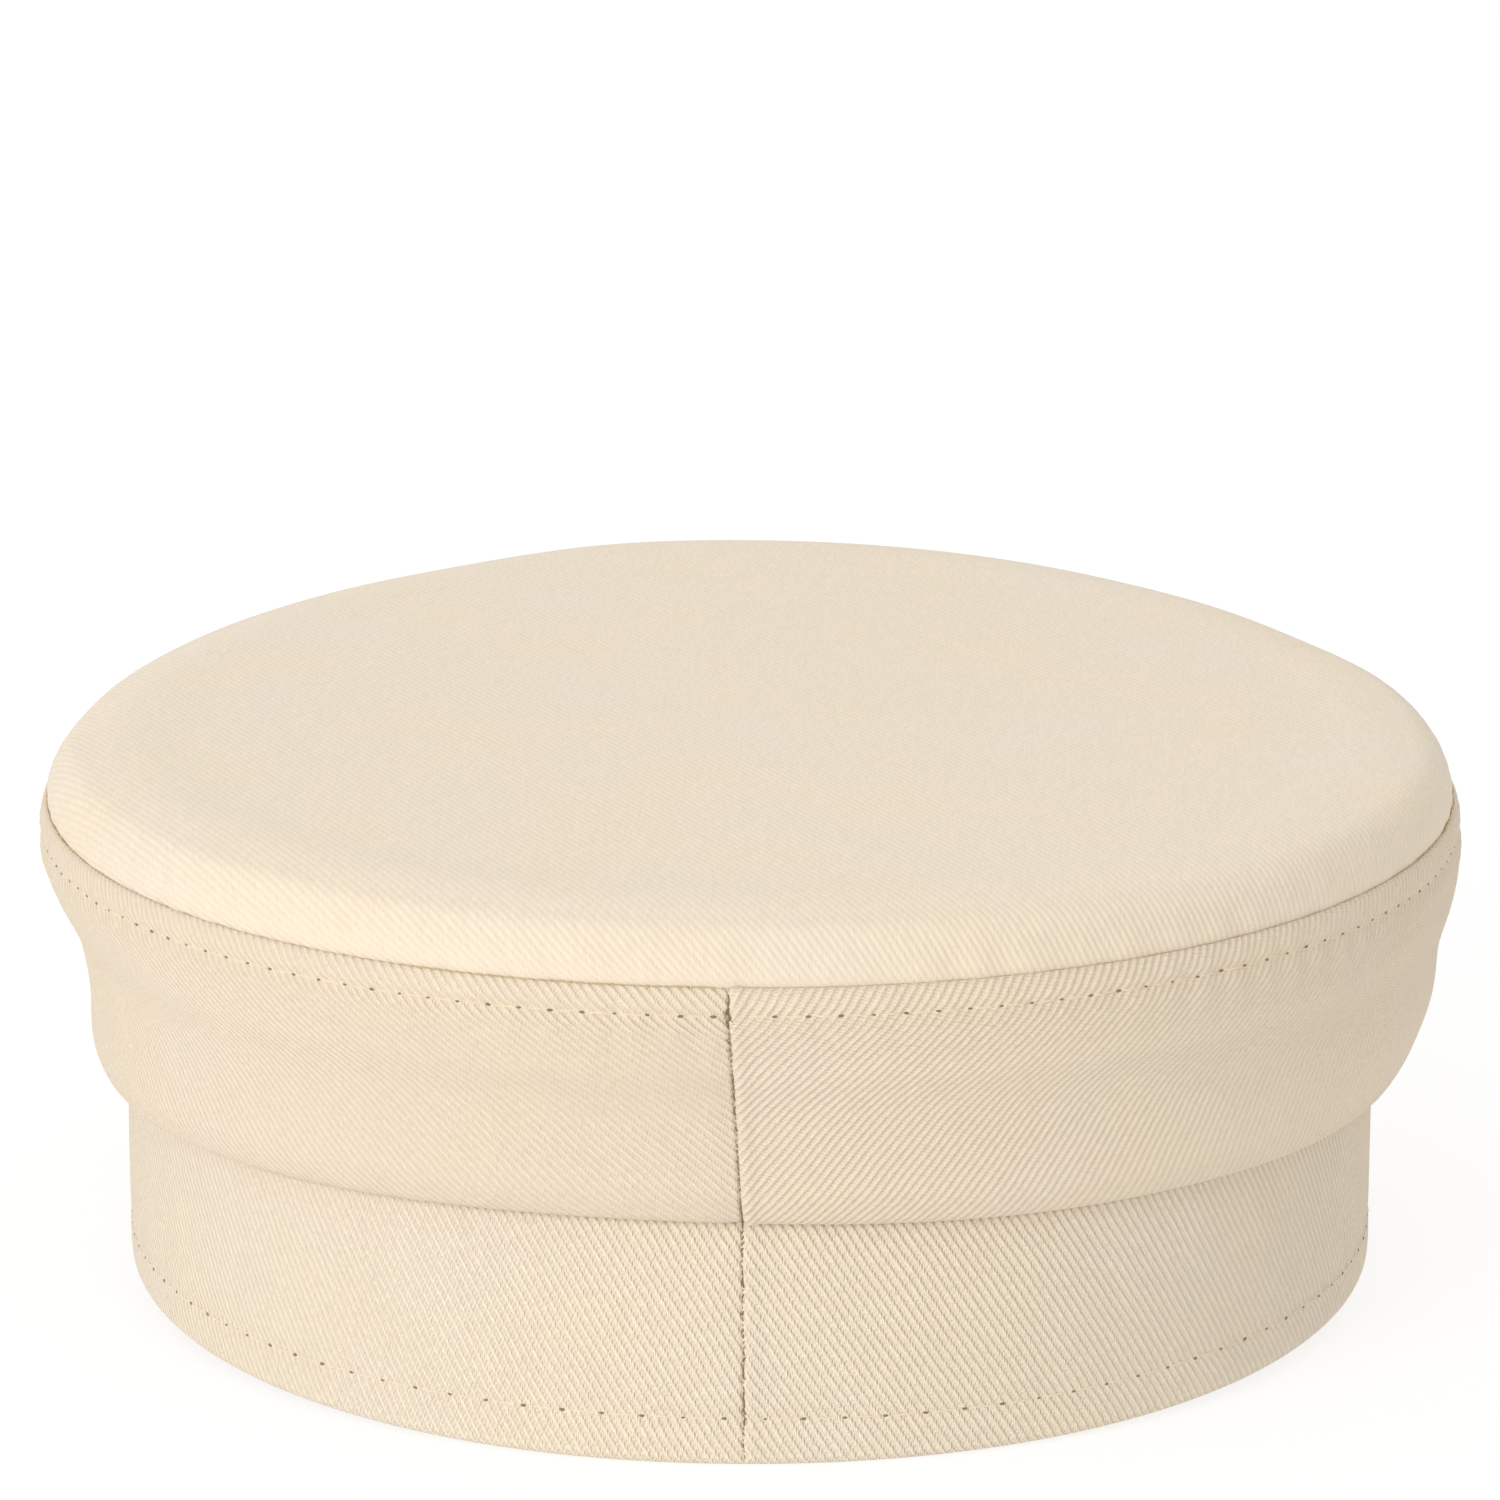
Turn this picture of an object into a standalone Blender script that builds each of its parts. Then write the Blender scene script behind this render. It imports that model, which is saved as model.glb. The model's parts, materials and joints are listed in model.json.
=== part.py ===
# A baker boy cap in cotton twill: round top panel, crown side, headband and peak.
# It is modelled level, with the plane of the headband's lower edge at zero height, then set down
# as it rests by itself: on the back of the headband and on the two low stretches of the peak.
import math
from collections import namedtuple

import bmesh
import bpy
import numpy as np
from mathutils import Matrix

# Driving dimensions, in metres. +X is the wearer's right, +Y the front, and +Z up.
HEADBAND_HALF_WIDTH = 0.0873
HEADBAND_HALF_DEPTH = 0.0978
HEADBAND_WALL = 0.0026
RIM_FLARE_SIDES = 0.0094
RIM_FLARE_BACK = 0.0080
RIM_FLARE_FRONT = 0.0197
FOLD_HEIGHT_BACK = 0.0332
FOLD_HEIGHT_FRONT = 0.0281
SIDE_FULLNESS = 0.0030
RIM_HEIGHT = 0.0648
FRONT_LIFT = 0.0023
TOP_RISE = 0.0090
CROWN_WALL = 0.0015
SEAM_TURN_IN = 0.0026
PEAK_REACH = 0.050
PEAK_TIP_REACH = 0.004
PEAK_WALL = 0.0030
PEAK_SEAT_HEIGHT = 0.0045
PEAK_SHELF = 0.0015
PEAK_POINTEDNESS = 1.2
SEAM_GAP = 0.0003

# Driving angles, in degrees
PEAK_HALF_ANGLE = 62.0
PEAK_MIDDLE_SLOPE = 17.0
PEAK_SIDE_SLOPE = 38.0
FRONT_LIFT_SPREAD = 42.0
STEEPEST_TIP = 30.0

# How square the plan outlines are: a power of 2 is an ellipse, and a higher one is squarer
HEADBAND_SQUARENESS = 2.06
RIM_BACK_SQUARENESS = 2.05
RIM_FRONT_SQUARENESS = 2.00

# How finely the curved surfaces are divided
STEPS_ROUND = 64
HEADBAND_STEPS_UP = 2
PEAK_STEPS_ACROSS = 24
PEAK_STEPS_OUT = 5
TIP_HALVINGS = 60

# Plan outlines are ovals, with their own depth and squareness behind and ahead of the middle.
# The rim's flares out past the headband's.
Outline = namedtuple("Outline", "half_width back_depth front_depth back_power front_power")
HEADBAND = Outline(
    half_width=HEADBAND_HALF_WIDTH,
    back_depth=HEADBAND_HALF_DEPTH,
    front_depth=HEADBAND_HALF_DEPTH,
    back_power=HEADBAND_SQUARENESS,
    front_power=HEADBAND_SQUARENESS,
)
RIM = Outline(
    half_width=HEADBAND_HALF_WIDTH + RIM_FLARE_SIDES,
    back_depth=HEADBAND_HALF_DEPTH + RIM_FLARE_BACK,
    front_depth=HEADBAND_HALF_DEPTH + RIM_FLARE_FRONT,
    back_power=RIM_BACK_SQUARENESS,
    front_power=RIM_FRONT_SQUARENESS,
)

# Sections of the crown side, from the headband up to the rim seam.
# out: share of the way from the headband's outline to the rim's
# full: how far it stands out past that, as a share of the side's fullness
# up: share of the height from the roll over the headband to the rim seam
SideSection = namedtuple("SideSection", "name out full up")
SIDE_SECTIONS = (
    SideSection("headband edge", 0.00, 0.00, 0.000),
    SideSection("under the roll", 0.16, 0.20, 0.000),
    SideSection("roll", 0.30, 0.33, 0.030),
    SideSection("above the roll", 0.40, 0.48, 0.090),
    SideSection("lower side", 0.52, 0.47, 0.210),
    SideSection("waist", 0.60, 0.42, 0.320),
    SideSection("middle", 0.66, 0.32, 0.440),
    SideSection("upper side", 0.74, 0.41, 0.560),
    SideSection("flare", 0.85, 0.84, 0.680),
    SideSection("widest", 0.95, 0.82, 0.830),
    SideSection("topstitch", 1.00, 0.57, 0.925),
    SideSection("puffed strip", 1.00, 0.48, 0.965),
    SideSection("rim seam", 1.00, 0.00, 1.000),
)

# Hollows and full places of the crown side.
# around and spread: degrees from the middle of the back, towards +X
# up and tall: shares of the side's height; depth: share of the side's fullness, inward when negative
SideFold = namedtuple("SideFold", "name around spread up tall depth")
SIDE_FOLDS = (
    SideFold("hollow on the left", -90, 45, 0.38, 0.20, -0.60),
    SideFold("dent under the topstitch on the left", -85, 35, 0.63, 0.10, -0.40),
    SideFold("full place on the right", 90, 45, 0.38, 0.20, 0.65),
)

# Places where the roll over the headband hangs lower.
# drop: share of the side's fullness
Droop = namedtuple("Droop", "name around spread drop")
DROOPS = (Droop("right of the back seam", 18, 24, 0.33),)

# Sections of the top panel, from the rim seam to near the middle.
# across: share of the rim's outline; rise: share of the top's rise
TopSection = namedtuple("TopSection", "name across rise")
TOP_SECTIONS = (
    TopSection("rim seam", 1.000, 0.00),
    TopSection("foot of the roll", 1.004, 0.12),
    TopSection("outside of the roll", 1.005, 0.32),
    TopSection("roll", 0.996, 0.56),
    TopSection("shoulder", 0.976, 0.80),
    TopSection("edge of the flat", 0.930, 0.93),
    TopSection("outer flat", 0.800, 0.97),
    TopSection("inner flat", 0.450, 0.99),
)

CROWN_COLOUR = (0.87, 0.76, 0.62, 1.0)
HEADBAND_COLOUR = (0.86, 0.74, 0.59, 1.0)
PEAK_COLOUR = (0.86, 0.75, 0.60, 1.0)
CLOTH_ROUGHNESS = 0.9


def grown(outline, by):
    return Outline(*(length + by for length in outline[:3]), *outline[3:])


def scaled(outline, share):
    return Outline(*(length * share for length in outline[:3]), *outline[3:])


def between(inner, outer, share):
    return Outline(*(a + (b - a) * share for a, b in zip(inner, outer)))


def plan_point(outline, angle):
    """The point of an outline at an angle from the middle of the back, towards +X."""
    sine, cosine = math.sin(angle), math.cos(angle)
    behind = cosine > 0
    depth = outline.back_depth if behind else outline.front_depth
    power = 2 / (outline.back_power if behind else outline.front_power)
    x = outline.half_width * math.copysign(abs(sine) ** power, sine)
    y = -depth * math.copysign(abs(cosine) ** power, cosine)
    return x, y


def bump(angle, around, spread):
    """How much a place at one angle belongs to a fold centred on another, from 1 fading to 0."""
    turn = math.remainder(math.degrees(angle) - around, 360)
    return math.exp(-((turn / spread) ** 2))


def angles_round():
    return [2 * math.pi * step / STEPS_ROUND for step in range(STEPS_ROUND)]


def ring(outline_at, height_at):
    """A closed ring of points, from an outline and a height that may both vary round the cap."""
    return [(*plan_point(outline_at(angle), angle), height_at(angle)) for angle in angles_round()]


def level_ring(outline, height):
    return ring(lambda angle: outline, lambda angle: height)


def fold_height(angle):
    """The height of the roll over the headband: highest behind, and level from the sides forward."""
    forward = math.sin(angle) ** 2 if math.cos(angle) > 0 else 1.0
    drop = sum(droop.drop * bump(angle, droop.around, droop.spread) for droop in DROOPS)
    return FOLD_HEIGHT_BACK + (FOLD_HEIGHT_FRONT - FOLD_HEIGHT_BACK) * forward - SIDE_FULLNESS * drop


def front_lift(angle):
    """How much the rim seam rises at the front."""
    return FRONT_LIFT * bump(angle, 180, FRONT_LIFT_SPREAD)


def side_fold(angle, up):
    """The sum of the folds at a place on the crown side."""
    total = 0.0
    for fold in SIDE_FOLDS:
        beside = bump(angle, fold.around, fold.spread)
        total += fold.depth * beside * math.exp(-(((up - fold.up) / fold.tall) ** 2))
    return SIDE_FULLNESS * total


def cloth(name, colour):
    material = bpy.data.materials.new(name)
    material.use_nodes = True
    shader = material.node_tree.nodes["Principled BSDF"]
    shader.inputs["Base Color"].default_value = colour
    shader.inputs["Roughness"].default_value = CLOTH_ROUGHNESS
    shader.inputs["Metallic"].default_value = 0.0
    return material


def loft(name, rows, closed, end_point=None):
    """An open surface through rows of equally many points, ending in a fan if it has an end point."""
    bm = bmesh.new()
    rows = [[bm.verts.new(point) for point in row] for row in rows]
    count = len(rows[0])
    for lower, upper in zip(rows, rows[1:]):
        for i in range(count if closed else count - 1):
            j = (i + 1) % count
            bm.faces.new((lower[i], lower[j], upper[j], upper[i]))
    if end_point:
        middle = bm.verts.new(end_point)
        for i in range(count):
            bm.faces.new((rows[-1][i], rows[-1][(i + 1) % count], middle))
    mesh = bpy.data.meshes.new(name)
    bm.to_mesh(mesh)
    bm.free()
    mesh.shade_smooth()
    return mesh


def panel(name, mesh, wall, material, collection, parent):
    """A cloth panel: its outer face is the mesh, and the wall goes inward from it."""
    mesh.materials.append(material)
    obj = bpy.data.objects.new(name, mesh)
    collection.objects.link(obj)
    obj.parent = parent
    solidify = obj.modifiers.new("wall", "SOLIDIFY")
    solidify.thickness = wall
    solidify.offset = -1
    solidify.use_even_offset = True
    return obj


def headband_row(share):
    return ring(lambda angle: HEADBAND, lambda angle: fold_height(angle) * share)


def headband_mesh():
    rows = [headband_row(step / HEADBAND_STEPS_UP) for step in range(HEADBAND_STEPS_UP + 1)]
    return loft("headband", rows, closed=True)


def crown_side_row(section):
    def outline(angle):
        stands_out = SIDE_FULLNESS * section.full + side_fold(angle, section.up)
        return grown(between(HEADBAND, RIM, section.out), stands_out)

    def height(angle):
        foot = fold_height(angle) + SEAM_GAP
        return foot + (RIM_HEIGHT + front_lift(angle) - foot) * section.up

    return ring(outline, height)


def crown_side_mesh():
    rows = [crown_side_row(section) for section in SIDE_SECTIONS]
    # The edges are turned in, onto the headband below and at the rim seam above
    inside = grown(HEADBAND, -HEADBAND_WALL)
    rows[0] = ring(lambda angle: inside, lambda angle: fold_height(angle) + SEAM_GAP)
    turned_in = grown(RIM, -SEAM_TURN_IN)
    rows.append(ring(lambda angle: turned_in, lambda angle: RIM_HEIGHT + front_lift(angle)))
    return loft("crown_side", rows, closed=True)


def crown_top_row(outline, across, rise):
    """A ring of the top panel, whose lift at the front fades towards the middle."""
    level = RIM_HEIGHT + SEAM_GAP + TOP_RISE * rise
    return ring(lambda angle: outline, lambda angle: level + front_lift(angle) * across**2)


def crown_top_mesh():
    rows = [crown_top_row(grown(RIM, -SEAM_TURN_IN), 1.0, 0.0)]
    for section in TOP_SECTIONS:
        rows.append(crown_top_row(scaled(RIM, section.across), section.across, section.rise))
    return loft("crown_top", rows, closed=True, end_point=(0, 0, RIM_HEIGHT + SEAM_GAP + TOP_RISE))


def peak_reach(share):
    """How far the peak stands out, at a share of the way from its middle to a tip."""
    taper = math.cos(share * math.pi / 2) ** PEAK_POINTEDNESS
    return PEAK_TIP_REACH + (PEAK_REACH - PEAK_TIP_REACH) * taper


def peak_mesh():
    """Rows from the headband outward: a level shelf against the band, then the slope."""
    columns = [2 * step / PEAK_STEPS_ACROSS - 1 for step in range(PEAK_STEPS_ACROSS + 1)]
    rows = []
    for step in range(-1, PEAK_STEPS_OUT + 1):
        row = []
        for column in columns:
            angle = math.pi - column * math.radians(PEAK_HALF_ANGLE)
            slope = PEAK_MIDDLE_SLOPE + (PEAK_SIDE_SLOPE - PEAK_MIDDLE_SLOPE) * column**2
            shelf = 0 if step < 0 else PEAK_SHELF
            out = max(step, 0) / PEAK_STEPS_OUT * (peak_reach(abs(column)) - PEAK_SHELF)
            x, y = plan_point(grown(HEADBAND, SEAM_GAP + shelf + out), angle)
            row.append((x, y, PEAK_SEAT_HEIGHT - out * math.tan(math.radians(slope))))
        rows.append(row)
    return loft("peak", rows[::-1], closed=False)


def evaluated_points(objects):
    """The points of the finished pieces, in the frame of the cap before it is set down."""
    graph = bpy.context.evaluated_depsgraph_get()
    points = []
    for obj in objects:
        mesh = obj.evaluated_get(graph).to_mesh()
        flat = np.empty(len(mesh.vertices) * 3, np.float32)
        mesh.vertices.foreach_get("co", flat)
        points.append(flat.reshape(-1, 3).astype(float))
        obj.evaluated_get(graph).to_mesh_clear()
    return np.concatenate(points)


def heights_when_tipped(points, tip):
    return points[:, 2] * math.cos(tip) + points[:, 1] * math.sin(tip)


def resting_tip(points):
    """The angle at which the lowest point ahead of the middle is as low as the lowest behind it."""
    low, high = 0.0, math.radians(STEEPEST_TIP)
    ahead = points[:, 1] > 0
    for _ in range(TIP_HALVINGS):
        tip = (low + high) / 2
        heights = heights_when_tipped(points, tip)
        if heights[ahead].min() < heights[~ahead].min():
            low = tip
        else:
            high = tip
    return (low + high) / 2


def set_down(cap, pieces):
    """Turns and moves the cap so that it rests on zero height, with its box centred on the origin."""
    points = evaluated_points(pieces)
    turn = Matrix.Rotation(resting_tip(points), 4, "X")
    points = points @ np.array(turn.to_3x3()).T
    middle = (points.min(axis=0) + points.max(axis=0)) / 2
    cap.rotation_euler = turn.to_euler()
    cap.location = (-middle[0], -middle[1], -points[:, 2].min())


def main():
    for obj in list(bpy.data.objects):
        bpy.data.objects.remove(obj, do_unlink=True)
    collection = bpy.data.collections.new("baker_boy_cap")
    bpy.context.scene.collection.children.link(collection)
    cap = bpy.data.objects.new("cap_level", None)
    collection.objects.link(cap)

    crown_cloth = cloth("crown_twill", CROWN_COLOUR)
    headband_cloth = cloth("headband_twill", HEADBAND_COLOUR)
    peak_cloth = cloth("peak_twill", PEAK_COLOUR)
    pieces = [
        panel("headband", headband_mesh(), HEADBAND_WALL, headband_cloth, collection, cap),
        panel("crown_side", crown_side_mesh(), CROWN_WALL, crown_cloth, collection, cap),
        panel("crown_top", crown_top_mesh(), CROWN_WALL, crown_cloth, collection, cap),
        panel("peak", peak_mesh(), PEAK_WALL, peak_cloth, collection, cap),
    ]
    set_down(cap, pieces)


main()
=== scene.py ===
# A baker boy cap in cream cotton twill, standing on a pale floor and seen from behind.
import json
import math

import bmesh
import bpy
import numpy as np
from mathutils import Matrix, Vector


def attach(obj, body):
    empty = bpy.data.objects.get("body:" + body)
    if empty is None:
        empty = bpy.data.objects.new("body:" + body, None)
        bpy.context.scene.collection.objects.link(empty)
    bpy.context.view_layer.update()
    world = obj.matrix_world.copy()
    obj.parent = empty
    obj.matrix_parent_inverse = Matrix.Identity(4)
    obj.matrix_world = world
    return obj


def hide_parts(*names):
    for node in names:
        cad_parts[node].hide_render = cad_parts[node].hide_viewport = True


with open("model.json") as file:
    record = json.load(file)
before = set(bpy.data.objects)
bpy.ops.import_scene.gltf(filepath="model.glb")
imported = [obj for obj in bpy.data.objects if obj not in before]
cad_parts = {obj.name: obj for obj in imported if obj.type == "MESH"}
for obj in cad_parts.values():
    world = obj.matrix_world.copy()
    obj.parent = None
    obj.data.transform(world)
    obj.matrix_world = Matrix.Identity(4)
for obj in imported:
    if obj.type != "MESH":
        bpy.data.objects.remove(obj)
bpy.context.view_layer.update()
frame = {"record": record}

mm = 0.001  # lengths are in millimetres, with the cap level, until a piece is set down


# Shaping: ovals, profiles and grids

def ovalPoints(oval, angle, grow=0.0):
    # x and y of an oval at an angle from the middle of the back towards +X
    halfWidth, behind, ahead, squareBehind, squareAhead = oval
    sine, cosine = np.sin(angle), np.cos(angle)
    depth = np.where(cosine > 0, behind, ahead) + grow
    power = 2 / np.where(cosine > 0, squareBehind, squareAhead)
    x = (halfWidth + grow) * np.sign(sine) * np.abs(sine) ** power
    y = -depth * np.sign(cosine) * np.abs(cosine) ** power
    return x, y


def bell(distance, spread):
    return np.exp(-((distance / spread) ** 2))


def ridge(distance, looks):
    # a soft ridge in mm: its height, where its middle stands and its spread
    height, middle, spread = looks
    return height * bell(distance - middle, spread)


def signed(angle):
    # the same angle, from minus half a turn to half a turn
    return np.angle(np.exp(1j * angle))


def nearAngle(angle, around, spread):
    return bell(np.degrees(signed(angle - math.radians(around))), spread)


def blend(start, end, share):
    return start + (end - start) * share


def smoothStep(share):
    share = np.clip(share, 0, 1)
    return share * share * (3 - 2 * share)


def alongLength(places):
    steps = np.linalg.norm(np.diff(places, axis=0), axis=-1)
    return np.concatenate([np.zeros((1, *steps.shape[1:])), np.cumsum(steps, axis=0)])


def smoothRows(table, places, count):
    # a smooth curve through the rows of a table, evenly spaced along the places that the rows stand at
    table = np.array(table, float)
    length = alongLength(np.array(places, float))
    slope = np.gradient(table, length, axis=0)
    at = np.linspace(0, length[-1], count)
    k = np.clip(np.searchsorted(length, at, side="right") - 1, 0, len(length) - 2)
    gap = (length[k + 1] - length[k])[:, None]
    t = (at - length[k])[:, None] / gap
    start, end = table[k], table[k + 1]
    leave, arrive = slope[k] * gap, slope[k + 1] * gap
    rows = (2 * t**3 - 3 * t**2 + 1) * start + (t**3 - 2 * t**2 + t) * leave
    rows = rows + (3 * t**2 - 2 * t**3) * end + (t**3 - t**2) * arrive
    return at, rows, length


def easeRows(points, at, first, last, reach):
    # cloth takes no sharp bend, so the rows between two places are averaged with those near them
    weights = bell(at[:, None] - at[None, :], reach)
    averaged = np.tensordot(weights / weights.sum(axis=1, keepdims=True), points, 1)
    share = smoothStep((at - first) / (1.5 * reach)) * smoothStep((last - at) / (1.5 * reach))
    return blend(points, averaged, share[:, None, None])


def gridNormals(points):
    # outward normals of a grid of rows going up and columns going all the way round
    around = np.roll(points, -1, axis=1) - np.roll(points, 1, axis=1)
    normal = np.cross(around, np.gradient(points, axis=0))
    return normal / np.maximum(np.linalg.norm(normal, axis=-1, keepdims=True), 1e-9)


def ripple(place, period, looks):
    # a soft irregular wave that closes on itself after the period: its height in mm, its numbers of waves,
    # and the seed of their sizes and starts
    height, waves, seed = looks
    rng = np.random.default_rng(seed)
    total = 0.0
    for wave in waves:
        total = total + rng.normal() * np.sin(2 * math.pi * (wave * place / period + rng.random()))
    return height * (total / math.sqrt(len(waves)))


def stitchPull(distance, place, total, looks):
    # how far a row of stitches pulls the cloth in: in mm, how much more at each stitch, and the row's spread
    depth, more, spread = looks["stitchPull"]
    beat = 0.5 + 0.5 * np.cos(2 * math.pi * place / total * round(total / looks["stitchLength"]))
    return -(depth + more * beat) * bell(distance, spread)


# in degrees from the back seam: the close columns beside it, the first of the even ones, and how far round
# the columns slant with the seam
grid = {
    "closeColumns": [0.0, 0.07, 0.14, 0.22, 0.31, 0.41, 0.53, 0.68, 0.88, 1.15],
    "evenFrom": 1.5,
    "evenCount": 640,
    "slantSpread": 9.0,
}


def columnAngles():
    near = np.array(grid["closeColumns"])
    even = np.linspace(grid["evenFrom"], 360 - grid["evenFrom"], grid["evenCount"])
    return np.radians(np.concatenate([near, even, 360 - near[:0:-1]]))


def seamedAngles(angle, seamX, radius):
    # slants the columns near the back so that the first one runs down the seam
    turn = np.degrees(signed(angle))
    return angle[None, :] + bell(turn, grid["slantSpread"])[None, :] * (seamX / radius)[:, None]


def closeRow(row):
    return np.concatenate([row, row[:1]])


def roundCap(row):
    # lengths along a closed row, the length all round, and where each column stands on the way
    length = alongLength(closeRow(row))
    return length, length[-1], length[:-1][None, :]


def thinRows(at, steps):
    # keeps the rows that stand at least a step apart, with a step for each stretch of the way across
    keep = [0]
    for i in range(1, len(at)):
        step = next(step for end, step in steps if at[i] < end)
        if at[i] - at[keep[-1]] >= step:
            keep.append(i)
    if keep[-1] != len(at) - 1:
        keep.append(len(at) - 1)
    return np.array(keep)


def profile(looks, reference):
    # the rows of a panel's profile, where they stand along it, and where its sections do
    at, rows, marks = smoothRows(looks["sections"], reference, looks["profileRows"])
    kept = thinRows(at, looks["rowSteps"])
    return at[kept], rows[kept].T, marks


def turningCloth(length, across, looks, linger=0.0, drag=None):
    # cloth coordinates of a band: its ribs slant one way right of the back seam and another way left of it;
    # linger keeps the turn between the two to the front, and drag is how far the cloth was pulled sideways
    share = length / length[-1]
    lag = linger * np.sin(2 * math.pi * share) / (2 * math.pi)
    slant = blend(*looks["slants"], share - lag)
    bearing = np.radians(twill["ribSlant"] - slant)
    around = np.stack([np.cos(bearing), np.sin(bearing)], -1)
    upward = np.stack([-around[:, 1], around[:, 0]], -1)
    steps = (around[1:] + around[:-1]) / 2 * np.diff(length)[:, None]
    start = np.concatenate([np.zeros((1, 2)), np.cumsum(steps, axis=0)])
    cloth = start[None] + across[:, None, None] * upward[None]
    if drag is not None:
        cloth = cloth + drag(share[None, :], across[:, None])[..., None] * around[None]
    return cloth / looks["clothEase"]


def gridMesh(name, points, cloth, relief=None, closed=True, middle=None):
    # a sheet of quads through a grid of points, with cloth coordinates in millimetres as its UV map
    # and how far its ribs stand out, from 0 to 1, as an attribute
    rows, columns = points.shape[:2]
    across = columns if closed else columns - 1
    row, column = np.meshgrid(np.arange(rows - 1), np.arange(across), indexing="ij")
    steps = [(0, 0), (0, 1), (1, 1), (1, 0)]
    corners = np.stack([(row + r) * columns + (column + c) % columns for r, c in steps], -1).ravel()
    spots = np.stack([cloth[row + r, column + c] for r, c in steps], -2).reshape(-1, 2)
    starts = np.arange(0, corners.size, 4)
    relief = np.ones((rows, columns)) if relief is None else np.broadcast_to(relief, (rows, columns))
    points, relief = points.reshape(-1, 3), relief.ravel()
    if middle is not None:
        ring, last = np.arange(columns), (rows - 1) * columns
        fan = [last + ring, last + (ring + 1) % columns, np.full(columns, len(points))]
        fanSpots = [cloth[-1, ring], cloth[-1, ring + 1], np.broadcast_to(middle[1], (columns, 2))]
        starts = np.concatenate([starts, corners.size + np.arange(0, 3 * columns, 3)])
        corners = np.concatenate([corners, np.stack(fan, -1).ravel()])
        spots = np.concatenate([spots, np.stack(fanSpots, -2).reshape(-1, 2)])
        points = np.concatenate([points, [middle[0]]])
        relief = np.append(relief, relief[-1])
    mesh = bpy.data.meshes.new(name)
    mesh.vertices.add(len(points))
    mesh.vertices.foreach_set("co", (points * mm).ravel())
    mesh.loops.add(len(corners))
    mesh.loops.foreach_set("vertex_index", corners)
    mesh.polygons.add(len(starts))
    mesh.polygons.foreach_set("loop_start", starts)
    mesh.update(calc_edges=True)
    mesh.uv_layers.new(name="clothMm").data.foreach_set("uv", spots.ravel())
    mesh.attributes.new("ribShare", "FLOAT", "POINT").data.foreach_set("value", relief.astype(np.float32))
    mesh.shade_smooth()
    return mesh


def mergeDoubles(mesh):
    bm = bmesh.new()
    bm.from_mesh(mesh)
    bmesh.ops.remove_doubles(bm, verts=bm.verts, dist=0.001 * mm)
    bm.to_mesh(mesh)
    bm.free()


def addObject(name, data):
    thing = bpy.data.objects.new(name, data)
    bpy.context.scene.collection.objects.link(thing)
    return thing


def applyModifiers(piece):
    # bakes the piece's modifiers into its mesh
    graph = bpy.context.evaluated_depsgraph_get()
    mesh = bpy.data.meshes.new_from_object(piece.evaluated_get(graph), depsgraph=graph)
    piece.modifiers.clear()
    old = piece.data
    piece.data = mesh
    bpy.data.meshes.remove(old)
    mesh.shade_smooth()


# Materials

def toLinear(hexColour):
    channels = [int(hexColour[i:i + 2], 16) / 255 for i in (1, 3, 5)]
    return (*[c / 12.92 if c <= 0.04045 else ((c + 0.055) / 1.055) ** 2.4 for c in channels], 1.0)


def feedNode(tree, node, values):
    # links or sets inputs of a node; a node that is given as a value stands for its first output
    for socket, value in dict(values).items():
        if isinstance(value, bpy.types.Node):
            value = value.outputs[0]
        if isinstance(value, bpy.types.NodeSocket):
            tree.links.new(value, node.inputs[socket])
        else:
            node.inputs[socket].default_value = value


def addNode(tree, kind, values=(), **settings):
    node = tree.nodes.new(kind)
    for name, value in settings.items():
        setattr(node, name, value)
    feedNode(tree, node, values)
    return node


def addMath(tree, operation, a, b=0.0, c=0.0):
    return addNode(tree, "ShaderNodeMath", {0: a, 1: b, 2: c}, operation=operation)


def startMaterial(name):
    material = bpy.data.materials.new(name)
    material.use_nodes = True
    return material, material.node_tree, material.node_tree.nodes["Principled BSDF"]


twill = {
    "warpPitch": 0.29,  # mm from one warp yarn to the next
    "weftPitch": 0.50,
    "repeat": 4.0,  # each warp yarn floats over three picks and dips under the fourth
    "floatShare": 0.80,
    "flattening": 0.55,  # how much lower a yarn is at its edges than along its middle
    "lowestFloat": 0.4,  # height of the thinnest float, as a share of the thickest
    "swellShare": 0.56,  # how much of the height is the broad swell of a rib, and not its single floats
    "knobHeight": 0.22,  # how far the pick stands up beside each pit
    "ribSlant": 120.1,  # degrees from the weft to the ribs, which follows from the two pitches
    "ribTop": "#f1e2ca",
    # painted shade in the pits where a yarn dips under
    "pit": "#e4d2b4",
    "warmCloud": "#f2e1c5",
    "pinkCloud": "#efe0cf",
    "ribDepth": 0.33,  # mm from the top of a rib to its valley
    "fuzz": 0.46,
    "fuzzScale": 3.4,  # per mm: fibres are far finer, but it is as fine as the picture can show
    "fuzzRoughness": 0.6,
    "wander": 0.5,  # mm
    "wanderScale": 0.11,
    "slubScale": (3.4, 0.5, 1.0),  # per mm, across a yarn and along it
    "slubHeight": (0.45, 0.77),  # how much the thickness varies, and the least thickness
    "cloudScale": 0.035,
    "cloudRange": (0.35, 0.65),
    "darkestFloat": 0.94,
    "rollShare": 0.40,  # how far the ribs stand out on the top panel's roll and on its ironed flat
    "flatShare": 0.20,
    "rollPaintedShade": 0.0,  # painted shade: how much darker the roll is painted than the ironed flat
    "roughness": 0.92,
    "specular": 0.25,
    "sheen": 0.20,
    "sheenRoughness": 0.45,
}
# painted shade and light on one cloth: the crown side a shade darker than the top, the headband a shade
# lighter
sideShadedColours = {"ribTop": "#eddcc3", "warmCloud": "#eedcbf", "pinkCloud": "#ebdac8", "pit": "#e2d0b3"}
bandLitColours = {"ribTop": "#f4e5cd", "warmCloud": "#f5e4c7", "pinkCloud": "#f2e2d1", "pit": "#e9d8bb"}


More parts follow.
